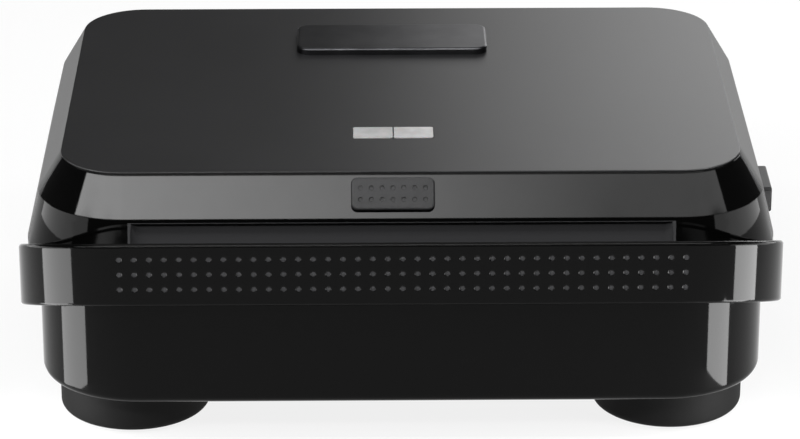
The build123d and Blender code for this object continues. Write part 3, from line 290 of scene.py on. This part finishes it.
def lamp_glass():
    """Drawn glass: clear, with slight thickness streaks."""
    material, tree, shader = new_surface("lamp_glass", Roughness=0.02, IOR=1.5, Transmission_Weight=1.0)
    tint(tree, shader, grain(tree, 4 * MM).outputs["Fac"], "#F2E4D2", "#FFF4E6")
    return material


def silicone_sleeve():
    """Braided glass in silicone: off-white, soft and matt."""
    material, tree, shader = new_surface("silicone_sleeve", Roughness=0.6, IOR=1.41)
    tint(tree, shader, grain(tree, 1.5 * MM).outputs["Fac"], "#B9B4A8", "#D2CDC1")
    relief(tree, shader, grain(tree, 0.4 * MM).outputs["Fac"], 0.03 * MM)
    return material


# How the fine lines of a metal are stretched
even = (1.0, 1.0, 1.0)
along_x = (0.03, 1.0, 1.0)

# The finish of each slot of the record
surfaces = {
    "satin_cover": satin_abs(),
    "gloss_black": gloss_abs(),
    "latch_plastic": grained_plastic("latch_abs", "#242425", "#2A2A2B", 0.5 * MM, 0.02 * MM, 0.34, 1.33),
    "button_plastic": grained_plastic("button_abs", "#0E0E0F", "#121213", 0.5 * MM, 0.015 * MM, 0.45, 1.35),
    "foot_plastic": grained_plastic("foot_abs", "#090909", "#0D0D0D", 0.7 * MM, 0.02 * MM, 0.7, 1.25),
    "foot_rubber": nitrile_rubber(),
    "frame_plastic": grained_plastic("glass_filled_nylon", "#171717", "#1F1F20", 0.9 * MM, 0.03 * MM, 0.55),
    "nonstick": fluoropolymer_coating(),
    "element_steel": bare_metal("heat_tinted_steel", "#4A4238", "#6A6258", 0.42, along_x, 0.01 * MM),
    "reflector_aluminium": bare_metal("rolled_aluminium", "#C2C3C5", "#D8D9DA", 0.3, along_x, 0.01 * MM),
    "pressed_steel": bare_metal("zinc_plated_steel", "#A6A8AA", "#C0C2C3", 0.35, even, 0.008 * MM),
    "screw_steel": bare_metal("turned_steel", "#9B9DA0", "#B9BBBD", 0.3, even, 0.006 * MM),
    "hinge_plastic": grained_plastic("hinge_nylon", "#141414", "#1A1A1B", 0.7 * MM, 0.02 * MM, 0.45),
    "bush_brass": bare_metal("turned_brass", "#B08D4A", "#C9A55C", 0.25, even, 0.005 * MM),
    "lamp_lens": frosted_acrylic(),
    "holder_plastic": grained_plastic("polycarbonate", "#BDBDB8", "#CFCFCA", 0.9 * MM, 0.01 * MM, 0.4),
    "bulb_glass": lamp_glass(),
    "nameplate_metal": bare_metal("anodised_aluminium", "#3E3E40", "#4A4A4C", 0.32, along_x, 0.012 * MM),
    "lead_insulation": silicone_sleeve(),
    "thermostat_metal": bare_metal("pressed_aluminium", "#B4B5B7", "#C8C9CB", 0.34, even, 0.008 * MM),
}

slot_of = {entry["node"]: entry["material_slot"] for entry in frame["record"]["subparts"]}
for name, carried in frame["nodes"].items():
    carried.data.materials.clear()
    carried.data.materials.append(surfaces[slot_of[name]])


# Helpers for pieces that replace plain CAD nodes
same_point = 0.001 * MM


def separate_solids(node):
    """The corner points of each separate solid of a node, always in the same order."""
    mesh = bmesh.new()
    mesh.from_mesh(frame["nodes"][node].data)
    bmesh.ops.remove_doubles(mesh, verts=mesh.verts, dist=same_point)
    unseen = set(mesh.verts)
    found = []
    for first in mesh.verts:
        if first not in unseen:
            continue
        unseen.remove(first)
        reached, waiting = [], [first]
        while waiting:
            vertex = waiting.pop()
            reached.append(vertex.co.copy())
            for edge in vertex.link_edges:
                other = edge.other_vert(vertex)
                if other in unseen:
                    unseen.remove(other)
                    waiting.append(other)
        found.append(reached)
    mesh.free()
    return found


def add_piece(name, mesh, body, slot, *nodes):
    """Makes a piece from a bmesh, with its finish, its body and the nodes that it stands for."""
    data = bpy.data.meshes.new(name)
    mesh.to_mesh(data)
    mesh.free()
    data.materials.append(surfaces[slot])
    piece = bpy.data.objects.new(name, data)
    scene.collection.objects.link(piece)
    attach(piece, body)
    if nodes:
        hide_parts(*nodes)
    return piece


# Screws: a domed head with a cross recess on a threaded shank
head_height = 1.4 * MM
rim_share = 0.12  # height of the head's straight rim, as a share of its height
under_share = 0.97  # radius of the head's underside, as a share of its radius
dome_angle = 0.93 * pi / 2
dome_steps = 6
recess_width = 0.9 * MM
recess_depth = 0.8 * MM
recess_reach = 1.15  # length of the cross, as a share of the head's radius
recess_taper = 0.55  # width of the recess at its bottom, as a share of that at its top
thread_pitch = 1.3 * MM
thread_depth = 0.22 * MM
tip_share = 0.25  # radius of the tip, as a share of the shank's
screw_sides = 32
end_tolerance = 0.01 * MM


def turned(mesh, profile, sides):
    """Adds a solid of revolution from pairs of radius and height, from one end to the other."""
    rings = [
        [mesh.verts.new((radius * cos(2 * pi * i / sides), radius * sin(2 * pi * i / sides), height))
         for i in range(sides)]
        for radius, height in profile
    ]
    for lower, upper in zip(rings, rings[1:]):
        for i in range(sides):
            following = (i + 1) % sides
            mesh.faces.new((lower[i], lower[following], upper[following], upper[i]))
    mesh.faces.new(list(reversed(rings[0])))
    mesh.faces.new(rings[-1])


def screw_profile(head_radius, shank_radius, shank_length):
    """From the tip of the shank at the bottom to the middle of the head at the top."""
    root_radius = shank_radius - thread_depth
    height = -shank_length + thread_pitch
    profile = [(tip_share * shank_radius, -shank_length), (root_radius, height)]
    while height + thread_pitch < -thread_pitch:
        profile += [(shank_radius, height + thread_pitch / 2), (root_radius, height + thread_pitch)]
        height += thread_pitch
    profile += [(root_radius, 0.0), (under_share * head_radius, 0.0), (head_radius, rim_share * head_height)]
    for step in range(1, dome_steps + 1):
        angle = step / dome_steps * dome_angle
        rise = (1 - rim_share) * sin(angle) / sin(dome_angle)
        profile.append((head_radius * cos(angle), head_height * (rim_share + rise)))
    return profile


def cut_cross(plain, head_radius):
    """The same mesh with a cross recess in its head, as a new bmesh."""
    recess_length = recess_reach * head_radius
    screw_data = bpy.data.meshes.new("screw")
    plain.to_mesh(screw_data)
    plain.free()
    screw = bpy.data.objects.new("screw", screw_data)
    cutters = []
    for size_x, size_y in ((recess_length, recess_width), (recess_width, recess_length)):
        bar = bmesh.new()
        bmesh.ops.create_cube(bar, size=1.0)
        bmesh.ops.scale(bar, verts=bar.verts, vec=(size_x, size_y, 2 * recess_depth))
        bmesh.ops.translate(bar, verts=bar.verts, vec=(0, 0, head_height))
        for corner in bar.verts:
            if corner.co.z < head_height:
                corner.co.x *= recess_taper
                corner.co.y *= recess_taper
        bar_data = bpy.data.meshes.new("recess")
        bar.to_mesh(bar_data)
        bar.free()
        cutter = bpy.data.objects.new("recess", bar_data)
        scene.collection.objects.link(cutter)
        cutters.append(cutter)
        cut = screw.modifiers.new("recess", "BOOLEAN")
        cut.operation = "DIFFERENCE"
        cut.solver = "EXACT"
        cut.object = cutter
    scene.collection.objects.link(screw)
    bpy.context.view_layer.update()
    evaluated = screw.evaluated_get(bpy.context.evaluated_depsgraph_get())
    finished = bmesh.new()
    finished.from_mesh(evaluated.to_mesh())
    evaluated.to_mesh_clear()
    for leftover in [screw] + cutters:
        bpy.data.objects.remove(leftover, do_unlink=True)
    return finished


def screws_for(node, body):
    """Detailed screws in the places of a node's plain ones."""
    together = bmesh.new()
    for points in separate_solids(node):
        low = Vector([min(p[i] for p in points) for i in range(3)])
        high = Vector([max(p[i] for p in points) for i in range(3)])
        size = high - low
        along = max(range(3), key=lambda i: size[i])
        centre = (low + high) / 2
        length = size[along]

        def radius_at(end):
            near = [p for p in points if abs(p[along] - end) < end_tolerance]
            return max((abs(p[i] - centre[i]) for p in near for i in range(3) if i != along), default=0.0)

        radius_low, radius_high = radius_at(low[along]), radius_at(high[along])
        head_radius = max(radius_low, radius_high)
        shank_radius = min(radius_low, radius_high)
        one = bmesh.new()
        turned(one, screw_profile(head_radius, shank_radius, length - head_height), screw_sides)
        one = cut_cross(one, head_radius)
        outward = Vector((0, 0, 0))
        outward[along] = 1 if radius_high > radius_low else -1
        turn = outward.to_track_quat("Z", "Y").to_matrix().to_4x4()
        shift = Matrix.Translation(centre + outward * (length / 2 - head_height))
        bmesh.ops.transform(one, matrix=shift @ turn, verts=one.verts)
        part = bpy.data.meshes.new("one")
        one.to_mesh(part)
        one.free()
        together.from_mesh(part)
        bpy.data.meshes.remove(part)
    add_piece(node + "_detailed", together, body, "screw_steel", node)


screws_for("bracket_screws", "base")
screws_for("base_screws", "base")
screws_for("foot_screws", "base")
screws_for("lid_screws", "lid")


# Release springs: coils of wire between the frame's post and the button's flange
wire_radius = 0.3 * MM
spring_turns = 7
points_per_turn = 24
wire_sides = 10


def coil(node, body):
    """A coil spring in the room of a node, made at one fixed length."""
    low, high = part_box(node)
    low, high = Vector(low), Vector(high)
    centre = (low + high) / 2
    radius = (high.z - low.z) / 2 - wire_radius
    length = high.x - low.x - 2 * wire_radius
    mesh = bmesh.new()
    rings = []
    steps = spring_turns * points_per_turn
    for step in range(steps + 1):
        share = step / steps
        angle = 2 * pi * spring_turns * share
        middle = Vector((low.x + wire_radius + length * share,
                         centre.y + radius * cos(angle), centre.z + radius * sin(angle)))
        outwards = Vector((0, cos(angle), sin(angle)))
        ring = []
        for k in range(wire_sides):
            around = 2 * pi * k / wire_sides
            offset = outwards * cos(around) + Vector((sin(around), 0, 0))
            ring.append(mesh.verts.new(middle + wire_radius * offset))
        rings.append(ring)
    for first, second in zip(rings, rings[1:]):
        for k in range(wire_sides):
            following = (k + 1) % wire_sides
            mesh.faces.new((first[k], second[k], second[following], first[following])).smooth = True
    mesh.faces.new(rings[0])
    mesh.faces.new(list(reversed(rings[-1])))
    spring = add_piece(node + "_coil", mesh, body, "screw_steel", node)
    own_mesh(spring)


coil("upper_release_spring", "lid")
coil("lower_release_spring", "base")


# Floor, lamps and surroundings
floor_size = 12.0
white_share = 0.85  # how much of the floor that is seen is plain white, and not its lit surface
floor_mesh = bmesh.new()
bmesh.ops.create_grid(floor_mesh, x_segments=1, y_segments=1, size=floor_size / 2)
floor_data = bpy.data.meshes.new("floor")
floor_mesh.to_mesh(floor_data)
floor_mesh.free()
floor = bpy.data.objects.new("floor", floor_data)
scene.collection.objects.link(floor)
floor_material, floor_tree, floor_shader = new_surface("pale_board", Roughness=0.9, IOR=1.4)
tint(floor_tree, floor_shader, grain(floor_tree, 0.5).outputs["Fac"], "#E9E9E9", "#EDEDED")
# The board is shown white, as in the photograph, and keeps part of its shadows
path = add_node(floor_tree, "ShaderNodeLightPath").outputs
seen = path["Is Camera Ray"]
for ray in ("Is Glossy Ray", "Is Transmission Ray"):
    seen = add_node(floor_tree, "ShaderNodeMath", {0: seen, 1: path[ray]}, operation="MAXIMUM").outputs[0]
share = add_node(floor_tree, "ShaderNodeMath", {0: seen, 1: white_share}, operation="MULTIPLY").outputs[0]
white = add_node(floor_tree, "ShaderNodeEmission", {"Color": linear("#FFFFFF"), "Strength": 1.0})
shown = add_node(floor_tree, "ShaderNodeMixShader",
                 {0: share, 1: floor_shader.outputs["BSDF"], 2: white.outputs["Emission"]})
floor_tree.links.new(shown.outputs["Shader"], floor_tree.nodes["Material Output"].inputs["Surface"])
floor_data.materials.append(floor_material)


def lamp(name, start, end, aim, height, brightness, end_brightness):
    """A soft panel between two points, whose brightness changes evenly from one to the other."""
    start, end, aim = Vector(start), Vector(end), Vector(aim)
    width = (end - start).length
    centre = (start + end) / 2
    across = (end - start) / width
    away = centre - aim
    away = (away - away.dot(across) * across).normalized()
    light = bpy.data.lights.new(name, "AREA")
    light.shape = "RECTANGLE"
    light.size = width
    light.size_y = height
    light.energy = pi * width * height * brightness
    light.use_nodes = True
    tree = light.node_tree
    along = add_node(tree, "ShaderNodeSeparateXYZ",
                     {"Vector": add_node(tree, "ShaderNodeNewGeometry").outputs["Parametric"]})
    strength = add_node(tree, "ShaderNodeMapRange",
                        {"Value": along.outputs["X"], "To Min": 1.0, "To Max": end_brightness / brightness})
    tree.links.new(strength.outputs["Result"], tree.nodes["Emission"].inputs["Strength"])
    holder = bpy.data.objects.new(name, light)
    turn = Matrix((across, away.cross(across), away)).transposed().to_4x4()
    holder.matrix_world = Matrix.Translation(centre) @ turn
    holder.visible_camera = False
    scene.collection.objects.link(holder)


# A ribbon of soft boxes in front, which the bevel of the lid mirrors round its corners. Each point has
# the brightness of the ribbon there.
ribbon_height = 0.10
ribbon_aim = (0.0, behind(25 * MM), 0.085)
ribbon = [
    ((-1.52, -0.57, 0.913), 27.0),
    ((-1.00, -1.29, 1.200), 29.0),
    ((-0.22, -1.30, 1.097), 29.0),
    ((0.18, -1.30, 1.097), 6.5),
    ((1.00, -1.29, 1.200), 6.5),
    ((1.52, -0.57, 0.913), 6.5),
]
for number, ((start, brightness), (end, end_brightness)) in enumerate(zip(ribbon, ribbon[1:])):
    lamp(f"front_ribbon_{number}", start, end, ribbon_aim, ribbon_height, brightness, end_brightness)

# A graded panel low behind, which the satin top mirrors on its right
lamp("rear_panel", (0.60, 0.62, 0.33), (0.01, 0.62, 0.33), aim=(0.05, 0.0, 0.09), height=0.3,
     brightness=6.3, end_brightness=0.6)

# A wide panel high behind, for an even light from above
lamp("overhead_panel", (1.2, 1.4, 2.2), (-1.2, 1.4, 2.2), aim=(0.0, 0.8, 0.0), height=1.6,
     brightness=0.9, end_brightness=0.9)

# A panel above the front, which the rounded edges and the dimples mirror as light lines and spots
lamp("edge_panel", (-0.9, -0.55, 1.25), (0.9, -0.55, 1.25), aim=(0.0, behind(10 * MM), 0.075), height=0.26,
     brightness=11.0, end_brightness=11.0)

# Narrow strips beside the front corners. The lid's corners mirror the upper ones, the band the middle
# ones and the base the lower ones. Each has its side, how far behind the front face its two ends are in
# millimetres, the height of its middle and its own height in metres, and its brightness at either end.
strip_side = 0.150
strips = [
    (-strip_side, 58.0, -20.0, 0.0735, 0.013, 3.0, 3.4),
    (-strip_side, 17.0, -18.0, 0.0500, 0.034, 12.0, 14.0),
    (-strip_side, 24.0, -10.0, 0.0165, 0.033, 10.0, 16.0),
    (strip_side, 58.0, -20.0, 0.0735, 0.013, 3.0, 3.4),
    (strip_side, 12.5, -14.0, 0.0500, 0.034, 20.0, 22.0),
    (strip_side, 6.5, -28.0, 0.0165, 0.033, 20.0, 24.0),
]
for number, (side, back, front, middle, height, brightness, end_brightness) in enumerate(strips):
    lamp(f"corner_strip_{number}", (side, behind(back * MM), middle), (side, behind(front * MM), middle),
         (0.0, behind((back + front) / 2 * MM), middle), height, brightness, end_brightness)

# Surroundings
world = bpy.data.worlds.new("studio")
world.use_nodes = True
world.node_tree.nodes["Background"].inputs["Color"].default_value = linear("#C8C8C8")
world.node_tree.nodes["Background"].inputs["Strength"].default_value = 0.12
scene.world = world
scene.view_settings.view_transform = "Standard"
